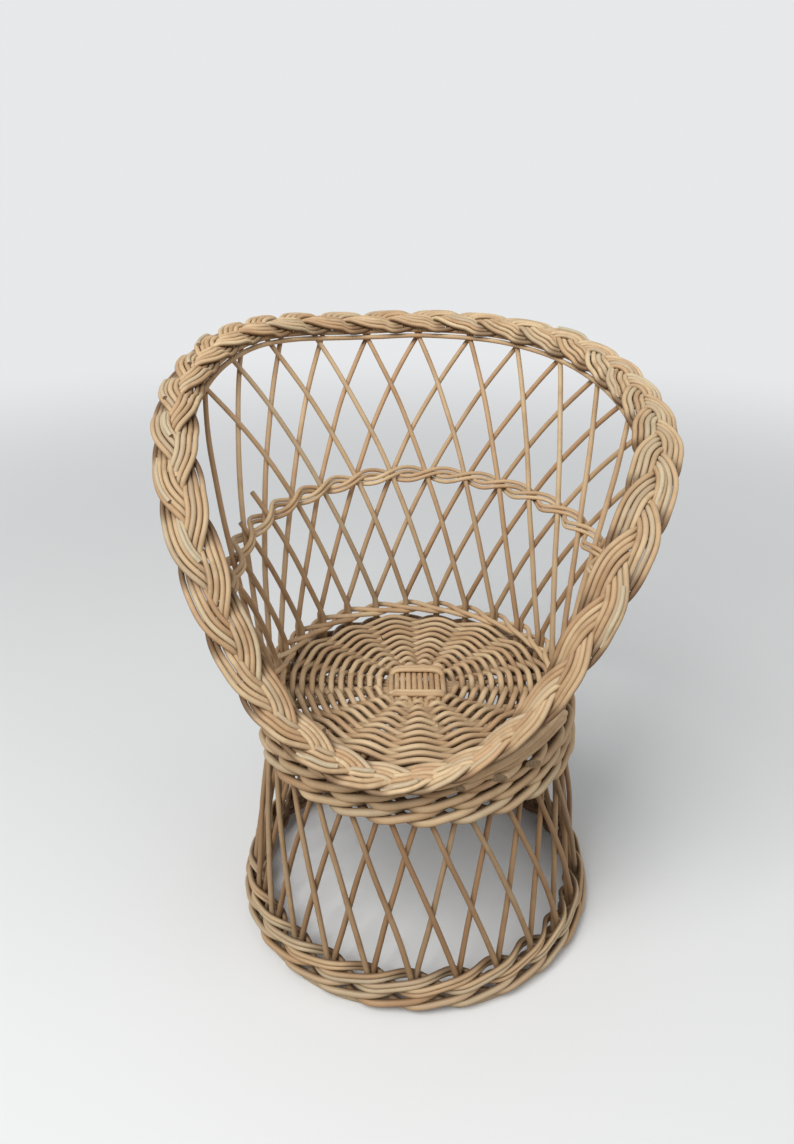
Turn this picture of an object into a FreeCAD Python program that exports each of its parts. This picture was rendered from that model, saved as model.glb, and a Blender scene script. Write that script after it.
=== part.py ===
import FreeCAD, Part
import bisect
import math
import os
from FreeCAD import Placement, Rotation, Vector

doc = FreeCAD.newDocument("ChildWickerChair")
sheet = doc.addObject("Spreadsheet::Sheet", "Dimensions")

# Driving dimensions: millimetres, degrees and counts.
# Angles go round the chair from the middle of the back, towards the right arm.
dimensions = (
    ("stakePairs", 26, "crossed stake pairs round the chair"),
    ("stakeDiameter", 5, "stakes of the skirt and of the back"),
    ("layerGap", 0.3, "clearance between crossing rods"),
    ("footStakeRadius", 157, "stake line where it leaves the foot band"),
    ("footStakeHeight", 35, "height of that point"),
    ("seatStakeRadius", 133.5, "stake line where it enters the seat band"),
    ("seatStakeHeight", 195, "height of that point"),
    ("footCrossAngle", 175.3, "a foot crossing beside the middle of the front"),
    ("footCrossHeight", 18, "height of the crossings in the foot band"),
    ("seatCrossHeight", 200, "height of the crossings in the seat band"),
    ("skirtOuterTurn", 1.85, "pitches that an outer skirt stake turns"),
    ("skirtInnerTurn", 1.15, "pitches that an inner skirt stake turns"),
    ("skirtBow", 1.3, "how much later the skirt stakes turn"),
    ("skirtBottom", 7.5, "lower end of the skirt stakes"),
    ("skirtTop", 213, "upper end of the skirt stakes"),
    ("backBottom", 214.5, "lower end of the back stakes"),
    ("backRadius", 131, "back stake line inside the seat band"),
    ("backCrossHeight", 250, "lowest crossing of the back stakes"),
    ("backCrossAngle", 3.92, "a crossing beside the middle of the back"),
    ("backHeight", 504, "height of the highest crossing"),
    ("sideDrop", 30, "how much lower that crossing lies at the side"),
    ("sideAngle", 83, "angle of the side"),
    ("sideLimit", 100, "angle past which it drops no further"),
    ("backOuterTurn", 3.5, "pitches that an outer back stake turns"),
    ("backInnerTurn", 2.5, "pitches that an inner back stake turns"),
    ("cutFirst", 20, "first of the inner back stakes that were cut off at the left arm"),
    ("cutLast", 22, "last of them"),
    ("cutRise", 0.52, "where the first was cut, as a share of the lattice's height"),
    ("cutStep", 0.05, "how much higher each next one was cut"),
    ("flarePower", 2, "how late the back flares outwards"),
    ("backLean", 1.8, "degrees that the back has settled over to the left arm"),
    ("leanHeight", 234, "height above which it leans"),
    ("hoopRadius", 164.5, "foot hoop, to the middle of the rod"),
    ("hoopDiameter", 7, "foot hoop rod"),
    ("hoopWear", 0.5, "flat worn on the hoop's underside"),
    ("footWaleHeight", 12.8, "middle of the foot's wale round"),
    ("footWaleDiameter", 5.6, "foot wale rods"),
    ("footBorderHeight", 27.6, "middle of the foot's doubled border"),
    ("footBorderDiameter", 4, "foot border rods"),
    ("seatWaleHeight", 192.5, "middle of the lowest seat wale round"),
    ("seatWalePitch", 13, "height of one seat wale round"),
    ("seatWaleRounds", 3, "seat wale rounds"),
    ("seatWaleDiameter", 6.3, "seat wale rods"),
    ("waleStart", 130, "angle after which the rods of a round start"),
    ("waleTail", 0.05, "pitches that a rod ends before the next one starts"),
    ("buttOut", 6.5, "how far the rod ends stand out in the top seat round"),
    ("buttLength", 0.6, "pitches in which they turn outwards"),
    ("waleLift", 0.6, "rise of a wale rod over the next, in diameters"),
    ("waleBulge", 0.5, "how far a wale rod stands out between two pairs"),
    ("doubleLift", 1.2, "rise of a doubled rod over the next, in diameters"),
    ("endGap", 0.8, "gap between the ends of rods that follow each other"),
    ("seatRingHeight", 241, "middle of the wale above the seat"),
    ("seatRingDiameter", 5, "seat ring rods"),
    ("seatRingLift", 0.4, "rise of a ring rod over the next, in diameters"),
    ("seatRingReach", 146, "angle where the seat ring ends at each arm"),
    ("midBandDiameter", 4, "rods of the band half way up the back"),
    ("midBandReach", 116, "angle where the band ends at each arm"),
    ("midBandShare", 0.5, "its place between the lowest and the highest crossings"),
    ("midBandLift", 0.9, "rise of a band rod over the next, in diameters"),
    ("seatHeight", 229, "middle of the seat sticks at the edge"),
    ("seatSag", 4.5, "how much lower they lie in the middle"),
    ("seatStickDiameter", 5, "seat sticks"),
    ("seatStickPitch", 5.3, "spacing of the sticks laid side by side"),
    ("seatReach", 124.3, "end of the seat sticks"),
    ("seatTurn", -6, "turn of the seat's sticks to the right"),
    ("longSticks", 10, "seat sticks from front to back"),
    ("crossSticks", 5, "seat sticks from side to side"),
    ("slathReach", 55, "radius where the sticks have fanned out"),
    ("slathHalf", 4, "half of the straight middle of a stick, in stick spacings"),
    ("fanStart", 0.3, "share of a stick's length in which it leaves the middle straight"),
    ("fanEnd", 0.45, "share in which it runs straight out to the edge"),
    ("weaverDiameter", 4.4, "seat weavers"),
    ("weaverRows", 20.1, "weaving rows"),
    ("weaverSide", 34, "radius of the first weaving row at the sides"),
    ("weaverFront", 23, "its radius at the front and at the back"),
    ("weaverEnd", 123, "radius of the last weaving row"),
    ("weaverTurns", 2.24, "turns that one weaver covers"),
    ("weaverCrown", 0.25, "how flat a weaver lies over and under the sticks"),
    ("binderDiameter", 4.4, "rod that ties the middle of the seat"),
    ("binderSideRoom", 0.6, "its room beside the long sticks, in stick spacings"),
    ("binderEndRoom", 0.6, "its room beside the cross sticks, in stick spacings"),
    ("binderTurns", 2, "times that it goes round"),
    ("binderSharp", 0.45, "how slowly it goes from above to below"),
    ("binderGap", 0.01, "share of a turn left open at its ends"),
    ("plaitRods", 4, "rods side by side in one plait strand"),
    ("plaitRodDiameter", 4.5, "plait rods"),
    ("plaitRodPitch", 4.6, "spacing of the rods of one strand"),
    ("plaitLobes", 33, "strand crossings along one edge of the plait"),
    ("plaitBackStretch", 1.45, "how much longer a crossing is at the back than at the front"),
    ("backStretchFrom", 25, "angle where the crossings of the back start to grow shorter"),
    ("backStretchTo", 60, "angle where they are as short as at the front"),
    ("plaitStretch", 1.75, "how much longer a crossing is on the arms than at the front"),
    ("stretchFrom", 65, "angle where the crossings start to grow longer"),
    ("stretchTo", 110, "angle where they are longest"),
    ("shrinkFrom", 125, "angle where they start to grow shorter again"),
    ("shrinkTo", 165, "angle where they are shortest again"),
    ("plaitSwing", 11, "sideways swing of a strand"),
    ("plaitFlat", 0.1, "how long a strand runs along the plait's edge"),
    ("plaitRise", 2.8, "rise of a strand over the next"),
    ("plaitSharp", 0.4, "how slowly a strand goes from above to below"),
    ("plaitEarly", 0.3, "how much sooner the leading rods of a strand rise"),
    ("plaitDome", 5, "how much lower the plait's edges lie than its middle"),
    ("plaitBackTilt", -12, "outward lean of the plait's face at the back"),
    ("plaitTilt", 12, "its lean on the arms"),
    ("tiltFrom", 40, "angle where the face starts to turn outwards"),
    ("tiltTo", 110, "angle where it has its full lean"),
    ("plaitNarrowing", 0.45, "share of its swing that it loses at the front"),
    ("plaitNarrowFrom", 110, "angle where the narrowing starts"),
    ("leftLift", 26, "how much higher the left shoulder has been pulled"),
    ("leftMiddle", -68, "angle of the middle of that shoulder"),
    ("leftSpread", 58, "angle from there to where it ends"),
    ("rightLift", 4, "how much higher the plait lies at the front right corner"),
    ("rightTuck", 4, "how much further in it lies there"),
    ("rightNarrowing", 0.45, "share of its swing that it loses there"),
    ("rightMiddle", 150, "angle of the middle of that corner"),
    ("rightSpread", 45, "angle from there to where it ends"),
    ("bindingDiameter", 4.5, "rods that bind the stakes under the plait"),
    ("bindingReach", 104, "angle where they end at each arm"),
    ("bindingDepth", 12, "how far they lie below the plait's middle"),
    ("skirtSpans", 12, "spans that a skirt stake is drawn in"),
    ("backSpans", 14, "spans of a back stake of full height"),
    ("waleSpans", 60, "spans of a wale rod and of a seat ring rod"),
    ("midBandSpans", 68, "spans of a mid band rod"),
    ("stickSpans", 12, "spans of a seat stick"),
    ("weaverSpans", 2, "spans of a weaver at each stick pair"),
    ("binderSpans", 32, "spans of one turn of the binder"),
    ("plaitSpans", 16, "spans of a plait rod"),
    ("bindingSpans", 24, "spans of a binding rod"),
    ("rimBackAngle", 0, "middle line of the plait"),
    ("rimBackReach", 224, ""),
    ("rimBackHeight", 520, ""),
    ("rimShoulderAngle", 45, ""),
    ("rimShoulderReach", 208, ""),
    ("rimShoulderHeight", 508, ""),
    ("rimSideAngle", 80, ""),
    ("rimSideReach", 202, ""),
    ("rimSideHeight", 469, ""),
    ("rimArmAngle", 100, ""),
    ("rimArmReach", 191, ""),
    ("rimArmHeight", 438, ""),
    ("rimElbowAngle", 115, ""),
    ("rimElbowReach", 184, ""),
    ("rimElbowHeight", 400, ""),
    ("rimDropAngle", 127, ""),
    ("rimDropReach", 175.5, ""),
    ("rimDropHeight", 345, ""),
    ("rimWristAngle", 140, ""),
    ("rimWristReach", 165, ""),
    ("rimWristHeight", 288, ""),
    ("rimCornerAngle", 158, ""),
    ("rimCornerReach", 152, ""),
    ("rimCornerHeight", 247, ""),
    ("rimFrontAngle", 180, ""),
    ("rimFrontReach", 146, ""),
    ("rimFrontHeight", 232, ""),
)
for row, (alias, number, note) in enumerate(dimensions, 1):
    sheet.set(f"A{row}", note)
    sheet.set(f"B{row}", str(number))
    sheet.setAlias(f"B{row}", alias)
doc.recompute()


def size(alias):
    return float(sheet.get(alias))


def count(alias):
    return int(sheet.get(alias))


pairs = count("stakePairs")
pitch = 360 / pairs
stake = size("stakeDiameter")
layer = (stake + size("layerGap")) / 2
straight = 1e-6
subparts = []


def polar(angle, radius, height):
    turn = math.radians(angle)
    return Vector(radius * math.sin(turn), radius * math.cos(turn), height)


def leaned(angle, radius, height):
    point = polar(angle, radius, height)
    point.x -= math.tan(math.radians(size("backLean"))) * max(0, height - size("leanHeight"))
    return point


def unit(vector):
    return vector * (1 / vector.Length)


def smooth(value, low, high):
    share = max(0, min(1, (value - low) / (high - low)))
    return share * share * (3 - 2 * share)


def turned_from_back(angle):
    return abs((angle + 180) % 360 - 180)


# Rods: a round section swept along a chain of arcs that follows a path

def arc(start, along, end):
    chord = end - start
    sideways = along - chord * (along.dot(chord) / chord.dot(chord))
    if sideways.Length < straight:
        return Part.LineSegment(start, end).toShape()
    bend = math.acos(max(-1, min(1, along.dot(unit(chord)))))
    middle = (start + end) * 0.5 + unit(sideways) * (chord.Length / 2 * math.tan(bend / 2))
    return Part.Arc(start, middle, end).toShape()


def biarc(start, along, end, leaving):
    chord = end - start
    spread = 2 * (1 - along.dot(leaving))
    reach = 2 * chord.dot(along + leaving)
    if spread < straight * straight:
        handle = chord.dot(chord) / reach
    else:
        handle = (math.sqrt(reach * reach + 4 * spread * chord.dot(chord)) - reach) / (2 * spread)
    first = start + along * handle
    last = end - leaving * handle
    middle = (first + last) * 0.5
    return [arc(start, along, middle), arc(middle, unit(last - first), end)]


def rod(path, begin, end, steps, diameter):
    stations = []
    nudge = (end - begin) / steps / 100
    for step in range(steps + 1):
        place = begin + (end - begin) * step / steps
        stations.append((path(place), unit(path(place + nudge) - path(place - nudge))))
    edges = []
    for (start, along), (finish, leaving) in zip(stations, stations[1:]):
        edges.extend(biarc(start, along, finish, leaving))
    spine = doc.addObject("Part::Feature", "Spine")
    spine.Shape = Part.Wire(edges)
    section = doc.addObject("Part::Circle", "Section")
    section.setExpression("Radius", f"Dimensions.{diameter} / 2")
    section.Placement = Placement(stations[0][0], Rotation(Vector(0, 0, 1), stations[0][1]))
    sweep = doc.addObject("Part::Sweep", "Rod")
    sweep.Sections = [section]
    sweep.Spine = (spine, [])
    sweep.Solid = True
    sweep.Frenet = False
    return sweep


def subpart(label, rods):
    group = doc.addObject("Part::Compound", "Subpart")
    group.Links = rods
    group.Label = label
    subparts.append(group)


# Rim: the middle line of the plait, a smooth curve through its stations

def rim_stations():
    names = ("Back", "Shoulder", "Side", "Arm", "Elbow", "Drop", "Wrist", "Corner", "Front")
    half = [tuple(size(f"rim{name}{part}") for part in ("Angle", "Reach", "Height")) for name in names]
    before = (-half[1][0],) + half[1][1:]
    after = (360 - half[-2][0],) + half[-2][1:]
    return [before] + half + [after]


rim_points = rim_stations()
rim_angles = [station[0] for station in rim_points]


def rim_value(angle, column):
    turned = turned_from_back(angle)
    right = min(max(bisect.bisect_right(rim_angles, turned), 2), len(rim_points) - 2)
    left = right - 1
    span = rim_angles[right] - rim_angles[left]
    share = (turned - rim_angles[left]) / span

    def slope(index):
        rise = rim_points[index + 1][column] - rim_points[index - 1][column]
        return rise / (rim_angles[index + 1] - rim_angles[index - 1]) * span

    square = share * share
    cube = square * share
    return (
        (2 * cube - 3 * square + 1) * rim_points[left][column]
        + (cube - 2 * square + share) * slope(left)
        + (3 * square - 2 * cube) * rim_points[right][column]
        + (cube - square) * slope(right)
    )


def bump(angle, name):
    aside = ((angle - size(f"{name}Middle") + 180) % 360 - 180) / size(f"{name}Spread")
    return math.cos(math.pi / 2 * max(-1, min(1, aside))) ** 2


def rim_reach(angle):
    return rim_value(angle, 1) - size("rightTuck") * bump(angle, "right")


def rim_height(angle):
    lift = size("leftLift") * bump(angle, "left") + size("rightLift") * bump(angle, "right")
    return rim_value(angle, 2) + lift


def rim(angle):
    return leaned(angle, rim_reach(angle), rim_height(angle))


def rim_frame(angle):
    nudge = 0.5
    forward = unit(rim(angle + nudge) - rim(angle - nudge))
    turned = smooth(turned_from_back(angle), size("tiltFrom"), size("tiltTo"))
    lean = math.radians(size("plaitBackTilt") + turned * (size("plaitTilt") - size("plaitBackTilt")))
    face = polar(angle, math.sin(lean), math.cos(lean))
    face = unit(face - forward * face.dot(forward))
    front = smooth(turned_from_back(angle), size("plaitNarrowFrom"), 180)
    width = 1 - size("plaitNarrowing") * front - size("rightNarrowing") * bump(angle, "right")
    return forward, forward.cross(face), face, width


def rim_crossings():
    counts = [0]
    for angle in range(-180, 180):
        turned = turned_from_back(angle)
        arm = smooth(turned, size("stretchFrom"), size("stretchTo"))
        arm *= 1 - smooth(turned, size("shrinkFrom"), size("shrinkTo"))
        back = 1 - smooth(turned, size("backStretchFrom"), size("backStretchTo"))
        stretch = 1 + (size("plaitStretch") - 1) * arm + (size("plaitBackStretch") - 1) * back
        counts.append(counts[-1] + (rim(angle + 1) - rim(angle)).Length / stretch)
    scale = size("plaitLobes") / counts[-1]
    return [count * scale for count in counts]


crossings = rim_crossings()
rim_samples = [(rim(angle), rim_frame(angle)) for angle in range(-180, 180)]


def rim_angle(crossing):
    crossing = crossing % crossings[-1]
    index = min(bisect.bisect_right(crossings, crossing), len(crossings) - 1)
    span = crossings[index] - crossings[index - 1]
    return index - 181 + (crossing - crossings[index - 1]) / span


# Skirt: two layers of crossed stakes between the foot band and the seat band

def skirt_radius(height):
    share = (height - size("footStakeHeight")) / (size("seatStakeHeight") - size("footStakeHeight"))
    return size("footStakeRadius") + share * (size("seatStakeRadius") - size("footStakeRadius"))


def skirt_stake(index, turn, offset):
    low = size("footCrossHeight")
    high = size("seatCrossHeight")

    def path(height):
        share = max(0, min(1, (height - low) / (high - low)))
        angle = size("footCrossAngle") + (index + turn * share ** size("skirtBow")) * pitch
        return polar(angle, skirt_radius(height) + offset, height)

    return rod(path, size("skirtBottom"), size("skirtTop"), count("skirtSpans"), "stakeDiameter")


def make_skirt():
    outer = size("skirtOuterTurn")
    inner = -size("skirtInnerTurn")
    subpart("skirt_stakes_outer", [skirt_stake(index, outer, layer) for index in range(pairs)])
    subpart("skirt_stakes_inner", [skirt_stake(index, inner, -layer) for index in range(pairs)])


# Back: two layers of crossed stakes that flare out to the plait

def lattice_height(angle):
    turned = min(turned_from_back(angle), size("sideLimit"))
    return size("backHeight") - size("sideDrop") * (turned / size("sideAngle")) ** 2


def back_radius(angle, height):
    top = rim_height(angle) - size("bindingDepth") / 2
    share = (height - size("backBottom")) / (top - size("backBottom"))
    flare = max(0, min(1, share)) ** size("flarePower")
    return size("backRadius") + flare * (rim_reach(angle) - size("backRadius"))


def back_path(index, turn, offset):
    low = size("backCrossHeight")

    def path(rise):
        angle = size("backCrossAngle") + (index + turn * max(0, rise)) * pitch
        height = low + rise * (lattice_height(angle) - low)
        return leaned(angle, back_radius(angle, height) + offset, height)

    return path


def plait_reach():
    return size("plaitSwing") + size("plaitRods") * size("plaitRodPitch") / 2


def meets_plait(point):
    thick = (size("plaitRodDiameter") + stake) / 2
    reach = plait_reach()
    for place, (forward, side, face, width) in rim_samples:
        away = point - place
        if abs(away.dot(forward)) > stake:
            continue
        across = away.dot(side)
        if abs(across) > reach - size("plaitSwing") * (1 - width) + stake / 2:
            continue
        above = away.dot(face) + size("plaitDome") * (across / reach) ** 2
        if abs(above) < size("plaitRise") + thick:
            return True
    return False


def back_stake(index, turn, offset, highest=1.3):
    path = back_path(index, turn, offset)
    low = size("backCrossHeight")
    begin = (size("backBottom") - low) / (size("backHeight") - low)
    step = 0.005
    end = begin + step
    while not meets_plait(path(end + step)) and end < highest:
        end += step
    steps = max(2, round((end - begin) * size("backSpans")))
    return rod(path, begin, end, steps, "stakeDiameter")


def make_back():
    inner = -size("backInnerTurn")
    outer = size("backOuterTurn")
    stakes = []
    for index in range(pairs):
        if size("cutFirst") <= index <= size("cutLast"):
            cut = size("cutRise") + (index - size("cutFirst")) * size("cutStep")
            stakes.append(back_stake(index, inner, -layer, cut))
        else:
            stakes.append(back_stake(index, inner, -layer))
    subpart("back_stakes_inner", stakes)
    subpart("back_stakes_outer", [back_stake(index, outer, layer) for index in range(pairs)])


# Woven bands: rods that pass in front of stake pairs and behind them

def wale_swing(thickness):
    out = stake + size("layerGap") + thickness / 2 + size("layerGap") / 2
    mean = out / 3
    once = out + size("waleBulge") / 2
    twice = out / 3 - size("waleBulge") / 2
    return lambda wave: mean - once * math.cos(wave) - twice * math.cos(2 * wave)


def wale_path(lane, phase, middle, thickness, lift, line_radius, end=0, butt=0):
    swing = wale_swing(thickness)

    def path(angle):
        wave = 2 * math.pi / 3 * ((angle - phase) / pitch - lane)
        height = middle + lift * math.sin(wave)
        proud = butt * smooth(angle, end - size("buttLength") * pitch, end)
        return polar(angle, line_radius(height) + swing(wave) + proud, height)

    return path


def lane_ends(phase, outside=False):
    aside = 1.5 if outside else 0
    first = math.ceil((size("waleStart") - phase) / pitch - aside)
    starts = {(first + step) % 3: phase + (first + step + aside) * pitch for step in range(3)}
    tail = size("waleTail") * pitch
    return [(starts[lane], 360 + starts[(lane - pairs) % 3] - tail) for lane in range(3)]


def make_wale_round(label, phase, middle, diameter, line_radius, butt=0):
    lift = size("waleLift") * size(diameter)
    for lane, (begin, end) in enumerate(lane_ends(phase, butt > 0)):
        path = wale_path(lane, phase, middle, size(diameter), lift, line_radius, end, butt)
        subpart(f"{label}_{lane + 1}", [rod(path, begin, end, count("waleSpans"), diameter)])


def make_foot():
    hoop = doc.addObject("Part::Torus", "Hoop")
    hoop.setExpression("Radius1", "Dimensions.hoopRadius")
    hoop.setExpression("Radius2", "Dimensions.hoopDiameter / 2")
    hoop.setExpression(".Placement.Base.z", "Dimensions.hoopDiameter / 2 - Dimensions.hoopWear")
    floor = doc.addObject("Part::Box", "Floor")
    for side in ("Length", "Width"):
        floor.setExpression(side, "3 * Dimensions.hoopRadius")
    floor.setExpression("Height", "Dimensions.hoopDiameter")
    for side in ("x", "y"):
        floor.setExpression(f".Placement.Base.{side}", "-1.5 * Dimensions.hoopRadius")
    floor.setExpression(".Placement.Base.z", "-Dimensions.hoopDiameter")
    worn = doc.addObject("Part::Cut", "WornHoop")
    worn.Base = hoop
    worn.Tool = floor
    worn.Label = "foot_hoop"
    subparts.append(worn)
    phase = size("footCrossAngle")
    make_wale_round("foot_wale_rod", phase, size("footWaleHeight"), "footWaleDiameter", skirt_radius)
    thin = size("footBorderDiameter")
    spread = (thin + size("layerGap")) / 2
    middle = size("footBorderHeight")
    lift = size("doubleLift") * thin
    for lane, (begin, end) in enumerate(lane_ends(phase)):
        for name, shift in (("lower", -spread), ("upper", spread)):
            path = wale_path(lane, phase, middle + shift, thin, lift, skirt_radius)
            border = rod(path, begin, end, count("waleSpans"), "footBorderDiameter")
            subpart(f"foot_border_{name}_{lane + 1}", [border])


def make_seat_band():
    skirt_phase = size("footCrossAngle") + size("skirtOuterTurn") * pitch
    for level in range(count("seatWaleRounds")):
        middle = size("seatWaleHeight") + level * size("seatWalePitch")
        above = middle > size("skirtTop")
        phase = size("backCrossAngle") if above else skirt_phase
        line = (lambda height: size("backRadius")) if above else skirt_radius
        butt = size("buttOut") if above else 0
        make_wale_round(f"seat_wale_{level + 1}_rod", phase, middle, "seatWaleDiameter", line, butt)


def pairing_path(lane, phase, middle, thickness, lift, line_radius):
    out = stake + size("layerGap") + thickness / 2 + size("layerGap") / 2

    def path(angle):
        wave = math.pi * ((angle - phase) / pitch - lane)
        height = middle(angle) + lift * math.sin(wave)
        return leaned(angle, line_radius(angle, height) - out * math.cos(wave), height)

    return path


def ring_path(lane):
    thick = size("seatRingDiameter")
    lift = size("seatRingLift") * thick
    swing = wale_swing(thick)

    def path(angle):
        wave = 2 * math.pi / 3 * ((angle - size("backCrossAngle")) / pitch - lane)
        height = size("seatRingHeight") + lift * math.sin(wave)
        return leaned(angle, size("backRadius") - swing(wave), height)

    return path


def make_seat_ring():
    reach = size("seatRingReach")
    for lane in range(3):
        ring = rod(ring_path(lane), -reach, reach, count("waleSpans"), "seatRingDiameter")
        subpart(f"seat_ring_rod_{lane + 1}", [ring])


def make_mid_band():
    thin = size("midBandDiameter")
    spread = (thin + size("layerGap")) / 2
    reach = size("midBandReach")
    low = size("backCrossHeight")
    phase = size("backCrossAngle") + pitch / 2

    def middle(angle):
        return low + size("midBandShare") * (lattice_height(angle) - low)

    for lane in range(2):
        for name, shift in (("lower", -spread), ("upper", spread)):
            level = lambda angle, shift=shift: middle(angle) + shift
            path = pairing_path(lane, phase, level, thin, size("midBandLift") * thin, back_radius)
            band = rod(path, -reach, reach, count("midBandSpans"), "midBandDiameter")
            subpart(f"mid_band_{name}_{lane + 1}", [band])


# Seat: sticks crossed in the middle and fanned out, woven round with one weaver after another

def fan_ends():
    columns = count("longSticks") + count("crossSticks")
    step = 360 / columns
    side = size("seatStickPitch") / 2
    return [(180 + column * step, shift) for column in range(columns) for shift in (-side, side)]


def seat_level(radius):
    return size("seatHeight") - size("seatSag") * (1 - (radius / size("seatReach")) ** 2)


def seat_stick(shift, far_end, near_end, across, lift):
    inner = size("slathHalf") * size("seatStickPitch")

    def half(end, sign):
        angle, side = end
        outward = across + (0 if sign > 0 else 180)
        start = polar(outward, inner, 0) + polar(across + 90, shift, 0)
        goal = polar(angle, size("seatReach"), 0) + polar(angle + 90, side, 0)
        stretch = (goal - start).Length
        first = start + polar(outward, stretch * size("fanStart"), 0)
        second = goal - polar(angle, stretch * size("fanEnd"), 0)
        return start, first, second, goal

    far = half(far_end, 1)
    near = half(near_end, -1)

    def bezier(points, share):
        rest = 1 - share
        weights = (rest ** 3, 3 * share * rest ** 2, 3 * share ** 2 * rest, share ** 3)
        total = Vector(0, 0, 0)
        for weight, point in zip(weights, points):
            total = total + point * weight
        return total

    def path(place):
        if abs(place) < 1:
            point = near[0] + (far[0] - near[0]) * ((place + 1) / 2)
        else:
            point = bezier(far if place > 0 else near, abs(place) - 1)
        away = math.hypot(point.x, point.y)
        point.z = seat_level(away) + lift * (1 - smooth(away, size("slathReach") / 2, size("slathReach")))
        return point

    return rod(path, -2, 2, count("stickSpans"), "seatStickDiameter")


def make_seat_sticks():
    ends = [(angle + size("seatTurn"), shift) for angle, shift in fan_ends()]
    longs = count("longSticks")
    crosses = count("crossSticks")
    spacing = size("seatStickPitch")
    half = longs // 2
    front = [ends[(half - 1 - index) % len(ends)] for index in range(longs)]
    right_first = half + longs + crosses
    left = [ends[half + index] for index in range(crosses)]
    back = [ends[half + crosses + index] for index in range(longs)]
    right = [ends[(right_first + crosses - 1 - index) % len(ends)] for index in range(crosses)]
    turn = size("seatTurn")
    lift = spacing / 2
    sticks = []
    for index in range(longs):
        shift = (index - (longs - 1) / 2) * spacing
        sticks.append(seat_stick(shift, back[index], front[longs - 1 - index], turn, lift))
    subpart("seat_sticks_long", sticks)
    sticks = []
    for index in range(crosses):
        shift = (index - (crosses - 1) / 2) * spacing
        sticks.append(seat_stick(shift, right[index], left[crosses - 1 - index], turn + 90, -lift))
    subpart("seat_sticks_cross", sticks)


def make_seat_weavers():
    columns = count("longSticks") + count("crossSticks")
    crown = size("weaverCrown")
    rise = (size("seatStickDiameter") + size("weaverDiameter")) / 2 + size("layerGap") / 2
    rows = size("weaverRows")

    def row_radius(turns):
        ahead = math.cos(2 * math.pi * turns) ** 2
        first = size("weaverSide") + (size("weaverFront") - size("weaverSide")) * ahead
        return first + (size("weaverEnd") - first) * turns / rows

    def path(turns):
        wave = math.pi * columns * turns
        radius = row_radius(turns)
        swing = (1 + crown) * math.cos(wave) - crown * math.cos(wave) ** 3
        return polar(180 + size("seatTurn") + 360 * turns, radius, seat_level(radius) + rise * swing)

    begin = 0
    number = 1
    while begin < rows - 0.5:
        end = min(begin + size("weaverTurns"), rows)
        gap = size("endGap") / (2 * math.pi * row_radius(end))
        steps = round((end - begin) * columns * size("weaverSpans"))
        subpart(f"seat_weaver_{number}", [rod(path, begin, end - gap, steps, "weaverDiameter")])
        begin = end
        number += 1


def make_seat_binder():
    wide = (size("longSticks") / 2 + size("binderSideRoom")) * size("seatStickPitch")
    deep = (size("crossSticks") / 2 + size("binderEndRoom")) * size("seatStickPitch")
    gap = size("binderGap")
    turns = size("binderTurns")
    clear = (size("seatStickDiameter") + size("binderDiameter")) / 2 + size("layerGap")
    rise = size("seatStickPitch") / 2 + clear
    sharp = size("binderSharp")

    def squared(value):
        return math.copysign(math.sqrt(abs(value)), value)

    def path(turned):
        turn = 2 * math.pi * turned
        across = wide * squared(math.cos(turn))
        along = (deep + turned * size("binderDiameter")) * squared(math.sin(turn))
        angle = math.degrees(math.atan2(across, along)) + size("seatTurn")
        away = math.hypot(across, along)
        level = math.cos(2 * turn)
        below = rise * math.hypot(1, sharp) * level / math.hypot(level, sharp)
        return polar(angle, away, seat_level(away) - below)

    spans = round(count("binderSpans") * turns)
    subpart("seat_binder", [rod(path, gap, turns - gap, spans, "binderDiameter")])


# Plait: three flat strands of rods that border the back, the arms and the front

def plait_point(strand, place, crossing):
    angle = rim_angle(crossing)
    forward, side, face, width = rim_frame(angle)
    turn = 2 * math.pi / 3
    wave = turn * (crossing + strand)
    advance = (rim(rim_angle(crossing + 0.5)) - rim(rim_angle(crossing - 0.5))).Length / turn
    flat = size("plaitFlat")
    swing = size("plaitSwing") * width / (1 - flat)
    slant = swing * (math.cos(wave) + 3 * flat * math.cos(3 * wave))
    shift = place * size("plaitRodPitch") / math.hypot(advance, slant)
    across = swing * (math.sin(wave) + flat * math.sin(3 * wave)) + shift * advance
    early = size("plaitEarly") * place * size("plaitRodPitch") / swing * math.cos(wave)
    level = math.sin(2 * (wave + early))
    above = size("plaitRise") * level / math.hypot(level, size("plaitSharp"))
    above -= size("plaitDome") * (across / plait_reach()) ** 2
    return rim(angle) + side * across + face * above - forward * (shift * slant)


def make_plait():
    period = 3
    hidden = 0.375
    rods_each = count("plaitRods")
    back = len(crossings) // 2
    gap = size("endGap") / (rim(1) - rim(0)).Length * (crossings[back + 1] - crossings[back])
    for strand in range(3):
        for index in range(rods_each):
            rods = []
            place = index - (rods_each - 1) / 2
            for part in range(count("plaitLobes") // period):
                begin = (part + hidden + index % 2 / 2) * period - strand
                end = begin + period - gap
                path = lambda crossing, strand=strand, place=place: plait_point(strand, place, crossing)
                rods.append(rod(path, begin, end, count("plaitSpans"), "plaitRodDiameter"))
            subpart(f"plait_strand_{strand + 1}_rod_{index + 1}", rods)


def make_binding():
    reach = size("bindingReach")
    thick = size("bindingDiameter") + size("layerGap")
    inward = stake + size("layerGap") + thick / 2
    for number in range(2):
        drop = size("bindingDepth") + number * thick

        def path(angle):
            height = rim_height(angle) - drop
            return leaned(angle, back_radius(angle, height) - inward, height)

        binding = rod(path, -reach, reach, count("bindingSpans"), "bindingDiameter")
        subpart(f"rim_binding_rod_{number + 1}", [binding])


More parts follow.
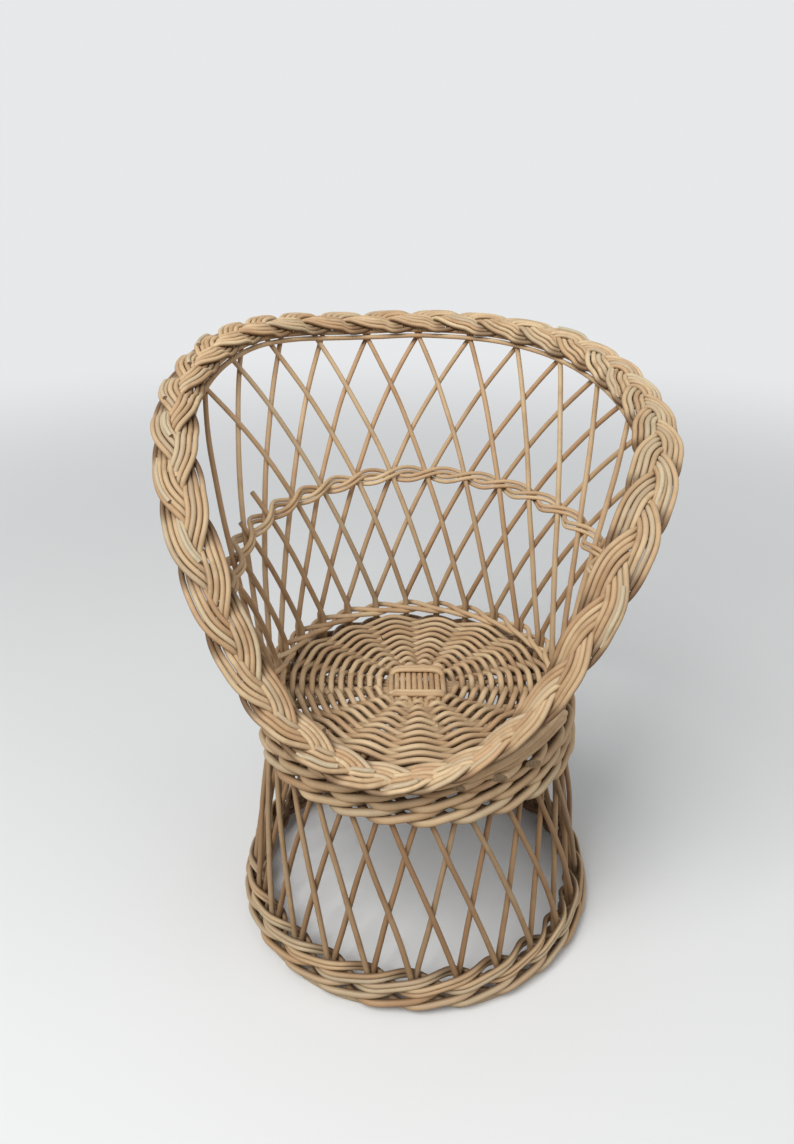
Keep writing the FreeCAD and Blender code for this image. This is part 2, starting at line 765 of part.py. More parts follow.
make_foot()
make_skirt()
make_seat_band()
make_seat_sticks()
make_seat_binder()
make_seat_weavers()
make_seat_ring()
make_back()
make_mid_band()
make_binding()
make_plait()
doc.recompute()

for item in doc.Objects:
    if "Invalid" in item.State or "Error" in item.State:
        raise RuntimeError(f"{item.Label} did not recompute: {item.State}")
os.makedirs("parts", exist_ok=True)
for item in subparts:
    if item.Shape.isNull() or not item.Shape.isValid():
        raise RuntimeError(f"{item.Label} has no valid shape")
    item.Shape.exportStep(f"parts/{item.Label}.step")
print(len(subparts), "sub-parts,", sum(len(item.Shape.Solids) for item in subparts), "solids")
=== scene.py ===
import bisect
import math
import random

import bmesh
import bpy
import numpy as np
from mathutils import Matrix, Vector, noise


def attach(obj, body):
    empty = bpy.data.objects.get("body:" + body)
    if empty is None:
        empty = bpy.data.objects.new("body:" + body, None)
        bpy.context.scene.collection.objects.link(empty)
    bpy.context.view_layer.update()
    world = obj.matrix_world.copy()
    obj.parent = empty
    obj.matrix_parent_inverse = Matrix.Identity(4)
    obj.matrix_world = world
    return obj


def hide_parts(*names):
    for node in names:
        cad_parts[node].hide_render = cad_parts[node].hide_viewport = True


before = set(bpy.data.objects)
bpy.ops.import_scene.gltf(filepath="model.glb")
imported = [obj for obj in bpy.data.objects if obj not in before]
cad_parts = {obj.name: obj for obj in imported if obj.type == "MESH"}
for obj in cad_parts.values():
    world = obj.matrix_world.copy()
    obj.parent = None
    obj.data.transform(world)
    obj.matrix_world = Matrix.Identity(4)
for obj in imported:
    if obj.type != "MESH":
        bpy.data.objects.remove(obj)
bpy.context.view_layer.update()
print("frame:", len(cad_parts), "nodes")

# The weave is in millimetres and degrees. Bump depths, the weld distance and the studio are in metres.
# Angles go round from the middle of the back towards the right arm.
mm = 0.001
weave = {"pairs": 26, "stake": 5.0, "gap": 0.3, "lean": 1.8, "leanFrom": 234, "seed": 21}
pitch = 360 / weave["pairs"]
layer = (weave["stake"] + weave["gap"]) / 2
dice = random.Random(weave["seed"])
noise.seed_set(weave["seed"])


def polar(angle, radius, height):
    turn = math.radians(angle)
    return Vector((radius * math.sin(turn), radius * math.cos(turn), height))


def leaned(angle, radius, height):
    point = polar(angle, radius, height)
    point.x -= math.tan(math.radians(weave["lean"])) * max(0, height - weave["leanFrom"])
    return point


def smooth(value, low, high):
    share = max(0, min(1, (value - low) / (high - low)))
    return share * share * (3 - 2 * share)


def fromBack(angle):
    return abs((angle + 180) % 360 - 180)


# Shader sums as plain expressions
class Wire:
    def __init__(self, finish, socket):
        self.finish = finish
        self.socket = socket

    def sum(self, operation, first, second):
        return self.finish.node("ShaderNodeMath", {"operation": operation}, {0: first, 1: second})

    def __add__(self, other):
        return self.sum("ADD", self, other)

    def __radd__(self, other):
        return self.sum("ADD", other, self)

    def __mul__(self, other):
        return self.sum("MULTIPLY", self, other)

    def __rmul__(self, other):
        return self.sum("MULTIPLY", other, self)


class Finish:
    def __init__(self, name):
        self.material = bpy.data.materials.new(name)
        self.material.use_nodes = True
        self.tree = self.material.node_tree
        self.shader = self.tree.nodes["Principled BSDF"]

    def feed(self, socket, value):
        if isinstance(value, Wire):
            self.tree.links.new(value.socket, socket)
        else:
            socket.default_value = value

    def node(self, kind, settings=None, values=None, out=0):
        made = self.tree.nodes.new(kind)
        for name, setting in (settings or {}).items():
            setattr(made, name, setting)
        for name, value in (values or {}).items():
            self.feed(made.inputs[name], value)
        return Wire(self, made.outputs[out])

    def blendColour(self, share, first, second):
        colours = {"Factor": share, 6: first, 7: second}
        return self.node("ShaderNodeMix", {"data_type": "RGBA"}, colours, 2)

    def noise(self, vector, scale, detail):
        return self.node("ShaderNodeTexNoise", {}, {"Vector": vector, "Scale": scale, "Detail": detail})


# Peeled willow: golden skin with darker streaks along each rod, greyed rods among the golden ones, and
# painted shade
willowLook = {
    "straw": (0.70, 0.535, 0.325, 1), "tan": (0.56, 0.36, 0.195, 1), "brown": (0.34, 0.19, 0.095, 1),
    "grey": (0.50, 0.455, 0.33, 1), "greyLeast": 0.5, "greyStreaks": 0.7, "paintedShade": (0.12, 0.06, 0.025, 1),
    "streakLength": 26, "streaksAround": 1.6, "streakDetail": 4,
    "blotchLength": 90, "blotchesAround": 0.4, "blotchDetail": 3,
    "patchFrom": 0.42, "patchTo": 0.78, "patchDepth": 0.75,
    "fibreFrom": 0.50, "fibreTo": 0.80, "fibreDepth": 0.55,
    "rough": 0.46, "roughSpread": 0.16, "specular": 0.3, "grain": 0.00022, "grainStrength": 0.5,
}


def willowFinish(name, brownness, look=willowLook):
    finish = Finish(name)
    uv = finish.node("ShaderNodeUVMap", {"uv_map": "rodMap"})
    around = finish.node("ShaderNodeSeparateXYZ", {}, {0: uv}, 0)
    along = finish.node("ShaderNodeSeparateXYZ", {}, {0: uv}, 1)
    tone = finish.node("ShaderNodeAttribute", {"attribute_name": "rodTone"}, out=2)
    age = finish.node("ShaderNodeAttribute", {"attribute_name": "rodAge"}, out=2)
    shade = finish.node("ShaderNodeAttribute", {"attribute_name": "rodShade"}, out=2)
    turn = around * (2 * math.pi)
    side = finish.node("ShaderNodeMath", {"operation": "SINE"}, {0: turn})
    front = finish.node("ShaderNodeMath", {"operation": "COSINE"}, {0: turn})

    # Noise wrapped round the rod and drawn out along it
    def rodNoise(length, spread, detail):
        line = {0: along * (1 / (length * mm)), 1: side * spread, 2: front * spread}
        return finish.noise(finish.node("ShaderNodeCombineXYZ", {}, line), 1.0, detail)

    streak = rodNoise(look["streakLength"], look["streaksAround"], look["streakDetail"])
    blotch = rodNoise(look["blotchLength"], look["blotchesAround"], look["blotchDetail"])
    patchRange = {0: blotch, 1: look["patchFrom"], 2: look["patchTo"], 3: brownness, 4: look["patchDepth"]}
    fibreRange = {0: streak, 1: look["fibreFrom"], 2: look["fibreTo"], 3: 0.0, 4: look["fibreDepth"]}
    skin = finish.blendColour(tone, look["straw"], look["tan"])
    skin = finish.blendColour(finish.node("ShaderNodeMapRange", {}, patchRange), skin, look["brown"])
    skin = finish.blendColour(finish.node("ShaderNodeMapRange", {}, fibreRange), skin, look["brown"])
    skin = finish.blendColour(age * (streak * look["greyStreaks"] + look["greyLeast"]), skin, look["grey"])
    # Painted shade: the rodShade attribute darkens the skin towards a dark brown in creases, under crossing
    # rods, behind stakes and low on the chair; it also darkens the plait on the arms
    skin = finish.blendColour(shade, skin, look["paintedShade"])
    finish.feed(finish.shader.inputs["Base Color"], skin)
    finish.feed(finish.shader.inputs["Roughness"], streak * look["roughSpread"] + look["rough"])
    finish.shader.inputs["Specular IOR Level"].default_value = look["specular"]
    grain = {"Height": streak, "Strength": look["grainStrength"], "Distance": look["grain"]}
    finish.feed(finish.shader.inputs["Normal"], finish.node("ShaderNodeBump", {}, grain))
    return finish.material


# Cut ends of the rods: browned end grain with dark flecks
cutLook = {
    "wood": (0.36, 0.265, 0.165, 1), "stain": (0.13, 0.085, 0.05, 1), "fleck": 900, "fleckDetail": 3,
    "stainFrom": 0.35, "stainTo": 0.75, "rough": 0.7, "roughSpread": 0.2, "pits": 0.0004, "pitStrength": 0.6,
}


def cutFinish(name, look=cutLook):
    finish = Finish(name)
    place = finish.node("ShaderNodeTexCoord", {}, out=3)
    fleck = finish.noise(place, look["fleck"], look["fleckDetail"])
    stained = finish.node("ShaderNodeMapRange", {}, {0: fleck, 1: look["stainFrom"], 2: look["stainTo"]})
    finish.feed(finish.shader.inputs["Base Color"], finish.blendColour(stained, look["wood"], look["stain"]))
    finish.feed(finish.shader.inputs["Roughness"], fleck * look["roughSpread"] + look["rough"])
    pits = {"Height": fleck, "Strength": look["pitStrength"], "Distance": look["pits"]}
    finish.feed(finish.shader.inputs["Normal"], finish.node("ShaderNodeBump", {}, pits))
    return finish.material


finishes = {
    "stake_willow": willowFinish("stakeWillow", brownness=0.22),
    "band_willow": willowFinish("bandWillow", brownness=0.10),
    "foot_willow": willowFinish("footWillow", brownness=0.14),
    "seat_willow": willowFinish("seatWillow", brownness=0.14),
    "plait_willow": willowFinish("plaitWillow", brownness=0.02),
}
cutEnds = cutFinish("cutWillow")
print("finishes:", len(finishes) + 1)


# Rods: bevelled curves that stray a little from their line, swell and taper, turned into meshes
rodLook = {
    "step": 3.0, "probes": 48, "fewestSteps": 6, "roundness": 3,
    "strayLength": 55, "strayStart": 50, "swell": 0.05, "swellRate": 2, "taper": 0.16, "grainStart": 40,
    "crease": 0.85, "creaseFrom": 0.6, "creaseTo": -0.25, "weld": 1e-6, "sharpEdge": 50, "leastAge": 0.3,
}


def trail(path, begin, end, step=rodLook["step"]):
    probes = rodLook["probes"]
    coarse = [path(begin + (end - begin) * probe / probes) for probe in range(probes + 1)]
    length = sum((second - first).length for first, second in zip(coarse, coarse[1:]))
    count = max(rodLook["fewestSteps"], round(length / step))
    return [path(begin + (end - begin) * index / count) for index in range(count + 1)]


def valuesAlong(points, begin, end, value):
    last = len(points) - 1
    return [value(begin + (end - begin) * index / last) for index in range(last + 1)]


def distances(points):
    travelled = [0.0]
    for first, second in zip(points, points[1:]):
        travelled.append(travelled[-1] + (second - first).length)
    return travelled


def rodMesh(points, diameter, tone, age, stray, taper=rodLook["taper"], shades=None, facing=None):
    travelled = distances(points)
    far = rodLook["strayStart"]
    origin = Vector([dice.uniform(-far, far) for axis in range(3)])
    curve = bpy.data.curves.new("willowRod", "CURVE")
    curve.dimensions = "3D"
    curve.bevel_depth = mm / 2
    curve.bevel_resolution = rodLook["roundness"]
    curve.use_fill_caps = True
    spline = curve.splines.new("POLY")
    spline.points.add(len(points) - 1)
    for handle, point, distance in zip(spline.points, points, travelled):
        wander = origin + Vector((distance / rodLook["strayLength"], 0, 0))
        placed = (point + noise.noise_vector(wander) * stray) * mm
        handle.co = (*placed, 1)
        swell = 1 + rodLook["swell"] * noise.noise(wander * rodLook["swellRate"])
        handle.radius = diameter * swell * (1 + taper * (0.5 - distance / travelled[-1]))
    holder = bpy.data.objects.new("willowRod", curve)
    mesh = bpy.data.meshes.new_from_object(holder)
    bpy.data.objects.remove(holder)
    bpy.data.curves.remove(curve)
    mapRod(mesh, points, travelled, tone, age, shades, facing)
    return mesh


# Painted shade in the creases between rods: darker where a rod's skin turns away from the side that shows
def creaseShade(mesh, facing, ringOf, sides):
    places = np.zeros(len(mesh.vertices) * 3, np.float32)
    mesh.vertices.foreach_get("co", places)
    places = places.reshape(-1, 3)
    rings = len(facing)
    middles = places[:rings * sides].reshape(rings, sides, 3).mean(axis=1)
    outward = places - middles[ringOf]
    outward /= np.linalg.norm(outward, axis=1, keepdims=True)
    towards = (outward * np.array(facing)[ringOf]).sum(axis=1)
    turned = (rodLook["creaseFrom"] - towards) / (rodLook["creaseFrom"] - rodLook["creaseTo"])
    return rodLook["crease"] * np.clip(turned, 0, 1)


def facingOut(points):
    return [tuple(Vector((point.x, point.y, 0)).normalized()) for point in points]


def mapRod(mesh, points, travelled, tone, age, shades, facing):
    sides = 4 + 2 * rodLook["roundness"]
    rings = len(points)
    ringOf = np.minimum(np.arange(len(mesh.vertices)) // sides, rings - 1)
    for name, values in (("rodTone", tone), ("rodAge", age)):
        layerData = mesh.attributes.new(name, "FLOAT", "POINT")
        layerData.data.foreach_set("value", np.full(len(mesh.vertices), values, np.float32))
    shadeData = mesh.attributes.new("rodShade", "FLOAT", "POINT")
    shade = np.zeros(len(mesh.vertices)) if shades is None else np.array(shades)[ringOf]
    if facing:
        shade = shade + (1 - shade) * creaseShade(mesh, facing, ringOf, sides)
    shadeData.data.foreach_set("value", shade.astype(np.float32))
    corner = np.zeros(len(mesh.loops), np.int32)
    mesh.loops.foreach_get("vertex_index", corner)
    uvs = np.zeros(len(mesh.loops) * 2, np.float32)
    uvLayer = mesh.uv_layers[0] if mesh.uv_layers else mesh.uv_layers.new(name="rodMap")
    uvLayer.name = "rodMap"
    uvLayer.data.foreach_get("uv", uvs)
    uvs = uvs.reshape(-1, 2)
    lengths = np.array(travelled, np.float32) * mm + dice.uniform(0, rodLook["grainStart"])
    uvs[:, 1] = lengths[ringOf[corner]]
    uvLayer.data.foreach_set("uv", uvs.ravel())


pieceCount = 0


def addPiece(name, meshes, slotName, nodes):
    global pieceCount
    joined = bmesh.new()
    for mesh in meshes:
        joined.from_mesh(mesh)
    bmesh.ops.remove_doubles(joined, verts=joined.verts, dist=rodLook["weld"])
    for face in joined.faces:
        face.smooth = len(face.verts) == 4
        face.material_index = 0 if face.smooth else 1
    bmesh.ops.recalc_face_normals(joined, faces=joined.faces)
    data = bpy.data.meshes.new(name)
    joined.to_mesh(data)
    joined.free()
    for mesh in meshes:
        bpy.data.meshes.remove(mesh)
    data.set_sharp_from_angle(angle=math.radians(rodLook["sharpEdge"]))
    data.materials.append(finishes[slotName])
    data.materials.append(cutEnds)
    piece = bpy.data.objects.new(name, data)
    bpy.context.scene.collection.objects.link(piece)
    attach(piece, "root")
    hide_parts(*nodes)
    pieceCount += 1


def anyTone(middle, spread):
    return max(0, min(1, dice.gauss(middle, spread)))


def anyAge(chance, most):
    return dice.uniform(rodLook["leastAge"], most) if dice.random() < chance else 0.0


# Rim line: the middle of the plait, a smooth curve through a few stations of (angle, reach, height)
rimLine = {
    "stations": ((0, 224, 520), (45, 208, 508), (80, 202, 469), (100, 191, 438), (115, 184, 400),
                 (127, 175.5, 345), (140, 165, 288), (158, 152, 247), (180, 146, 232)),
    "backTilt": -12, "tilt": 12, "tiltFrom": 40, "tiltTo": 110, "narrowing": 0.45, "narrowFrom": 110,
    "left": {"lift": 26, "tuck": 0, "narrowing": 0, "middle": -68, "spread": 58, "squeeze": 0},
    "right": {"lift": 4, "tuck": 4, "narrowing": 0.28, "middle": 150, "spread": 45, "squeeze": 0.28},
}


def rimStations():
    half = list(rimLine["stations"])
    before = (-half[1][0],) + half[1][1:]
    after = (360 - half[-2][0],) + half[-2][1:]
    return [before] + half + [after]


rimPoints = rimStations()
rimAngles = [station[0] for station in rimPoints]


def rimValue(angle, column):
    turned = fromBack(angle)
    right = min(max(bisect.bisect_right(rimAngles, turned), 2), len(rimPoints) - 2)
    left = right - 1
    span = rimAngles[right] - rimAngles[left]
    share = (turned - rimAngles[left]) / span

    def slope(index):
        rise = rimPoints[index + 1][column] - rimPoints[index - 1][column]
        return rise / (rimAngles[index + 1] - rimAngles[index - 1]) * span

    square = share * share
    cube = square * share
    ends = (2 * cube - 3 * square + 1) * rimPoints[left][column]
    ends += (3 * square - 2 * cube) * rimPoints[right][column]
    return ends + (cube - 2 * square + share) * slope(left) + (cube - square) * slope(right)


def uneven(angle, amount):
    total = 0
    for place in (rimLine["left"], rimLine["right"]):
        aside = ((angle - place["middle"] + 180) % 360 - 180) / place["spread"]
        total += place[amount] * math.cos(math.pi / 2 * max(-1, min(1, aside))) ** 2
    return total


def rimReach(angle):
    return rimValue(angle, 1) - uneven(angle, "tuck")


def rimHeight(angle):
    return rimValue(angle, 2) + uneven(angle, "lift")


def rim(angle):
    return leaned(angle, rimReach(angle), rimHeight(angle))


def rimFrame(angle):
    front = smooth(fromBack(angle), rimLine["narrowFrom"], 180)
    forward = (rim(angle + 0.5) - rim(angle - 0.5)).normalized()
    turned = smooth(fromBack(angle), rimLine["tiltFrom"], rimLine["tiltTo"])
    lean = math.radians(rimLine["backTilt"] + turned * (rimLine["tilt"] - rimLine["backTilt"]))
    face = polar(angle, math.sin(lean), math.cos(lean))
    face = (face - forward * face.dot(forward)).normalized()
    return forward, forward.cross(face), face, 1 - rimLine["narrowing"] * front - uneven(angle, "narrowing")


# Skirt: two layers of crossed stakes
skirt = {
    "footRadius": 157, "footHeight": 35, "seatRadius": 133.5, "seatHeight": 195, "bottom": 7.5, "top": 213,
    "footCross": 175.3, "footCrossHeight": 18, "seatCrossHeight": 200, "outerTurn": 1.85, "innerTurn": 1.15,
    "bow": 1.3, "askew": 0.06, "stray": 0.9, "tone": 0.6, "toneSpread": 0.45, "aged": 0.06, "age": 0.4,
    "shade": 0.45,
}


def skirtRadius(height):
    share = (height - skirt["footHeight"]) / (skirt["seatHeight"] - skirt["footHeight"])
    return skirt["footRadius"] + share * (skirt["seatRadius"] - skirt["footRadius"])


def makeSkirt():
    low = skirt["footCrossHeight"]
    high = skirt["seatCrossHeight"]
    for name, node, turn, offset in (("skirtStakesOuter", "skirt_stakes_outer", skirt["outerTurn"], layer),
                                     ("skirtStakesInner", "skirt_stakes_inner", -skirt["innerTurn"], -layer)):
        rods = []
        for index in range(weave["pairs"]):
            askew = dice.uniform(-skirt["askew"], skirt["askew"])

            def path(height):
                share = max(0, min(1, (height - low) / (high - low)))
                bow = math.sin(math.pi * share) * askew
                angle = skirt["footCross"] + (index + turn * share ** skirt["bow"] + bow) * pitch
                return polar(angle, skirtRadius(height) + offset, height)

            points = trail(path, skirt["bottom"], skirt["top"])
            # Painted shade: the skirt stakes under the seat are darkened evenly
            shades = [skirt["shade"]] * len(points)
            tone = anyTone(skirt["tone"], skirt["toneSpread"])
            age = anyAge(skirt["aged"], skirt["age"])
            rods.append(rodMesh(points, weave["stake"], tone, age, skirt["stray"], shades=shades))
        addPiece(name, rods, "stake_willow", [node])


# Back: two layers of crossed stakes that flare out to the plait. A few at the left arm are cut short.
back = {
    "bottom": 214.5, "radius": 131, "crossHeight": 250, "cross": 3.92, "top": 504, "sideDrop": 30,
    "sideAngle": 83, "sideLimit": 100, "outerTurn": 3.5, "innerTurn": 2.5, "flare": 2, "bindingDepth": 12,
    "cuts": {20: 0.52, 21: 0.57, 22: 0.62}, "uncut": 1.3, "endStep": 0.005, "plaitSide": 8, "plaitDepth": 1,
    "askew": 0.05, "stray": 0.8, "innerTone": 0.45, "outerTone": 0.75, "toneSpread": 0.3, "aged": 0.05,
    "age": 0.4, "shade": 0.3, "shadeTop": 444,
}


def latticeHeight(angle):
    turned = min(fromBack(angle), back["sideLimit"])
    return back["top"] - back["sideDrop"] * (turned / back["sideAngle"]) ** 2


def backRadius(angle, height):
    top = rimHeight(angle) - back["bindingDepth"] / 2
    share = max(0, min(1, (height - back["bottom"]) / (top - back["bottom"])))
    return back["radius"] + share ** back["flare"] * (rimReach(angle) - back["radius"])


rimSamples = [(rim(angle), rimFrame(angle)) for angle in range(-180, 180)]


def insidePlait(point):
    for place, (forward, side, face, width) in rimSamples:
        away = point - place
        if abs(away.dot(forward)) > weave["stake"]:
            continue
        across = away.dot(side) / (plait["swing"] * width + back["plaitSide"])
        above = away.dot(face) / (plait["rise"] * width + back["plaitDepth"])
        if across * across + above * above < 1:
            return True
    return False


def makeBack():
    low = back["crossHeight"]
    begin = (back["bottom"] - low) / (back["top"] - low)
    step = back["endStep"]
    # The outer layer gets a browner tone than the inner one: painted shade for the layer that lies behind
    for name, node, turn, offset, middle in (
            ("backStakesInner", "back_stakes_inner", -back["innerTurn"], -layer, back["innerTone"]),
            ("backStakesOuter", "back_stakes_outer", back["outerTurn"], layer, back["outerTone"])):
        rods = []
        for index in range(weave["pairs"]):
            askew = dice.uniform(-back["askew"], back["askew"])

            def path(rise):
                bow = math.sin(math.pi * max(0, min(1, rise))) * askew
                angle = back["cross"] + (index + turn * max(0, rise) + bow) * pitch
                height = low + rise * (latticeHeight(angle) - low)
                return leaned(angle, backRadius(angle, height) + offset, height)

            end = begin + step
            cut = back["cuts"].get(index, back["uncut"]) if turn < 0 else back["uncut"]
            while not insidePlait(path(end + step)) and end < cut:
                end += step
            points = trail(path, begin, end)
            # Painted shade: the back stakes darken towards the bottom
            fades = [smooth(point.z, back["bottom"], back["shadeTop"]) for point in points]
            shades = [back["shade"] * (1 - fade) for fade in fades]
            tone = anyTone(middle, back["toneSpread"])
            age = anyAge(back["aged"], back["age"])
            rods.append(rodMesh(points, weave["stake"], tone, age, back["stray"], shades=shades))
        addPiece(name, rods, "stake_willow", [node])


# Wale: three rods that take turns in front of two stake pairs and behind the third
wale = {
    "bulge": 0.5, "lift": 0.6, "start": 130, "tail": 0.05, "stray": 0.5, "tone": 0.4, "toneSpread": 0.25,
    "age": 0.6, "shadeBehind": 0.6, "shadeFrom": -0.3, "shadeTo": 0.7,
}
# From between the two layers of stakes to the skin of a rod woven past them
stakeRoom = weave["stake"] + weave["gap"] * 1.5

# Butts: thick rod ends that stand out of the top round at the right, cut aslant so that the end grain shows
butts = {
    "aside": 1.5, "out": 5, "rise": 5, "length": 0.5, "taper": -0.3, "tuck": 0.7,
    "slant": 1.3, "slantReach": 10,
}


def waleWave(angle, phase, lane):
    return 2 * math.pi / 3 * ((angle - phase) / pitch - lane)


def walePath(lane, phase, middle, thickness, lift, lineRadius, end=0, hasButt=False):
    out = stakeRoom + thickness / 2

    def path(angle):
        wave = waleWave(angle, phase, lane)
        once = (out + wale["bulge"] / 2) * math.cos(wave)
        twice = (out / 3 - wale["bulge"] / 2) * math.cos(2 * wave)
        height = middle + lift * math.sin(wave)
        freed = smooth(angle, end - butts["length"] * pitch, end) if hasButt else 0
        reach = lineRadius(height) + out / 3 - once - twice + butts["out"] * freed
        return polar(angle, reach, height + butts["rise"] * freed)

    return path


# Painted shade: a wale rod darkens where it passes behind a stake pair, on top of an even painted shade over
# the whole rod
def shadeBehind(angle, phase, lane, least):
    behind = smooth(math.cos(waleWave(angle, phase, lane)), wale["shadeFrom"], wale["shadeTo"])
    return least + (wale["shadeBehind"] - least) * behind


def laneEnds(phase, hasButts=False):
    aside = butts["aside"] if hasButts else 0
    first = math.ceil((wale["start"] - phase) / pitch - aside)
    starts = {(first + step) % 3: phase + (first + step + aside) * pitch for step in range(3)}
    tail = wale["tail"] * pitch
    return [(starts[lane], 360 + starts[(lane - weave["pairs"]) % 3] - tail) for lane in range(3)]


def slantCut(mesh, points):
    end = points[-1]
    along = (end - points[-2]).normalized()
    outward = Vector((end.x, end.y, 0)).normalized()
    for vertex in mesh.vertices:
        place = vertex.co / mm - end
        if place.length < butts["slantReach"]:
            share = min(1, 1 + place.dot(along) / butts["slantReach"])
            vertex.co -= along * (share * butts["slant"] * place.dot(outward) * mm)


def makeWaleRound(name, label, phase, middle, thickness, lineRadius, slotName, aged, shade, hasButts=False):
    for lane, (begin, end) in enumerate(laneEnds(phase, hasButts)):
        path = walePath(lane, phase, middle, thickness, wale["lift"] * thickness, lineRadius, end, hasButts)
        begin -= butts["tuck"] * pitch if hasButts else 0
        points = trail(path, begin, end)
        shades = valuesAlong(points, begin, end, lambda angle: shadeBehind(angle, phase, lane, shade))
        tone = anyTone(wale["tone"], wale["toneSpread"])
        age = anyAge(aged, wale["age"])
        taper = butts["taper"] if hasButts else 0
        rods = [rodMesh(points, thickness, tone, age, wale["stray"], taper, shades, facingOut(points))]
        if hasButts:
            slantCut(rods[0], points)
            rods += cornerRods() if lane == 0 else []
        addPiece(f"{name}{lane + 1}", rods, slotName, [f"{label}_{lane + 1}"])


# Foot: a hoop on the floor with one loose end, a wale, and a border of doubled rods above it
# Painted shade: the foot rods are darkened a little all over
foot = {
    "hoopRadius": 164.5, "hoopDiameter": 7, "hoopHeight": 3.2, "hoopEnd": 162, "hoopTurn": 359, "hoopTuck": 7,
    "hoopTuckOver": 40, "hoopTone": 0.3, "hoopAge": 0.5, "hoopStray": 0.2, "hoopTaper": 0.05,
    "wale": 12.8, "waleDiameter": 6.2, "border": 27.6, "borderDiameter": 4.4, "borderLift": 1.2,
    "borderStray": 0.4, "aged": 0.85, "shade": 0.1,
}


def makeHoop():
    first = foot["hoopEnd"] - foot["hoopTurn"]

    def path(angle):
        tucked = foot["hoopTuck"] * (1 - smooth(angle, first, first + foot["hoopTuckOver"]))
        return polar(angle, foot["hoopRadius"] - tucked, foot["hoopHeight"])

    points = trail(path, first, foot["hoopEnd"])
    shades = [foot["shade"]] * len(points)
    rod = rodMesh(points, foot["hoopDiameter"], foot["hoopTone"], foot["hoopAge"], foot["hoopStray"],
                  foot["hoopTaper"], shades)
    for vertex in rod.vertices:
        vertex.co.z = max(0, vertex.co.z)
    addPiece("footHoop", [rod], "foot_willow", ["foot_hoop"])


def makeFootBorder():
    phase = skirt["footCross"]
    thin = foot["borderDiameter"]
    for lane, (begin, end) in enumerate(laneEnds(phase)):
        for name, side in (("Lower", -1), ("Upper", 1)):
            middle = foot["border"] + side * (thin + weave["gap"]) / 2
            path = walePath(lane, phase, middle, thin, foot["borderLift"] * thin, skirtRadius)
            points = trail(path, begin, end)
            shades = valuesAlong(points, begin, end,
                                 lambda angle: shadeBehind(angle, phase, lane, foot["shade"]))
            age = anyAge(foot["aged"], wale["age"])
            tone = anyTone(wale["tone"], wale["toneSpread"])
            rod = rodMesh(points, thin, tone, age, foot["borderStray"],
                          shades=shades, facing=facingOut(points))
            node = f"foot_border_{name.lower()}_{lane + 1}"
            addPiece(f"footBorder{name}{lane + 1}", [rod], "foot_willow", [node])


def makeFoot():
    makeHoop()
    makeWaleRound("footWaleRod", "foot_wale_rod", skirt["footCross"], foot["wale"], foot["waleDiameter"],
                  skirtRadius, "foot_willow", foot["aged"], foot["shade"])
    makeFootBorder()


# Rods that fill the corner between the seat band and the plait at the right arm
cornerFill = {
    "rods": 3, "first": 104, "last": 178, "shorter": 9, "radius": 139.5, "diameter": 6, "edge": 255.4,
    "edgeDrop": 33, "dropBend": 1.6, "spacing": 7.3, "tuck": 12, "tuckOver": 9,
    "startHeight": 231, "rising": 18, "tone": 0.4, "toneSpread": 0.2, "stray": 0.5,
}


def cornerRods():
    rods = []
    first = cornerFill["first"]
    span = cornerFill["last"] - first
    over = cornerFill["tuckOver"]
    for row in range(cornerFill["rods"]):
        last = cornerFill["last"] - row * cornerFill["shorter"]

        def path(angle):
            drop = cornerFill["edgeDrop"] * ((angle - first) / span) ** cornerFill["dropBend"]
            height = cornerFill["edge"] - drop - row * cornerFill["spacing"]
            sunk = 1 - smooth(angle, first, first + cornerFill["rising"])
            height += sunk * (cornerFill["startHeight"] - height)
            tucked = 1 - smooth(angle, first, first + over) + smooth(angle, last - over, last)
            reach = backRadius(angle, height) - back["radius"] + cornerFill["radius"]
            return leaned(angle, reach - cornerFill["tuck"] * tucked, height)

        points = trail(path, first, last)
        tone = anyTone(cornerFill["tone"], cornerFill["toneSpread"])
        rod = rodMesh(points, cornerFill["diameter"], tone, 0, cornerFill["stray"], facing=facingOut(points))
        rods.append(rod)
    return rods


# Seat band: three rounds of wale, the top one round the stakes of the back
# Painted shade: the seat band rods are darkened a little all over
seatBand = {"bottom": 192.5, "pitch": 13, "rounds": 3, "diameter": 7.2, "aged": 0.2, "shade": 0.1}


def makeSeatBand():
    skirtPhase = skirt["footCross"] + skirt["outerTurn"] * pitch
    for level in range(seatBand["rounds"]):
        middle = seatBand["bottom"] + level * seatBand["pitch"]
        above = middle > skirt["top"]
        phase = back["cross"] if above else skirtPhase
        lineRadius = (lambda height: back["radius"]) if above else skirtRadius
        makeWaleRound(f"seatWale{level + 1}Rod", f"seat_wale_{level + 1}_rod", phase, middle,
                      seatBand["diameter"], lineRadius, "band_willow", seatBand["aged"], seatBand["shade"],
                      hasButts=above)


# Seat ring: a wale turned inside out, with its long strokes on the inside of the stakes
seatRing = {
    "height": 241, "lift": 0.4, "diameter": 5, "reach": 146, "tone": 0.5, "toneSpread": 0.2, "stray": 0.4,
}


def makeSeatRing():
    thick = seatRing["diameter"]
    for lane in range(3):
        outside = walePath(lane, back["cross"], seatRing["height"], thick, seatRing["lift"] * thick,
                           lambda height: 0)

        def path(angle):
            point = outside(angle)
            swing = point.x * math.sin(math.radians(angle)) + point.y * math.cos(math.radians(angle))
            return leaned(angle, back["radius"] - swing, point.z)

        points = trail(path, -seatRing["reach"], seatRing["reach"])
        rod = rodMesh(points, thick, anyTone(seatRing["tone"], seatRing["toneSpread"]), 0, seatRing["stray"])
        addPiece(f"seatRingRod{lane + 1}", [rod], "band_willow", [f"seat_ring_rod_{lane + 1}"])


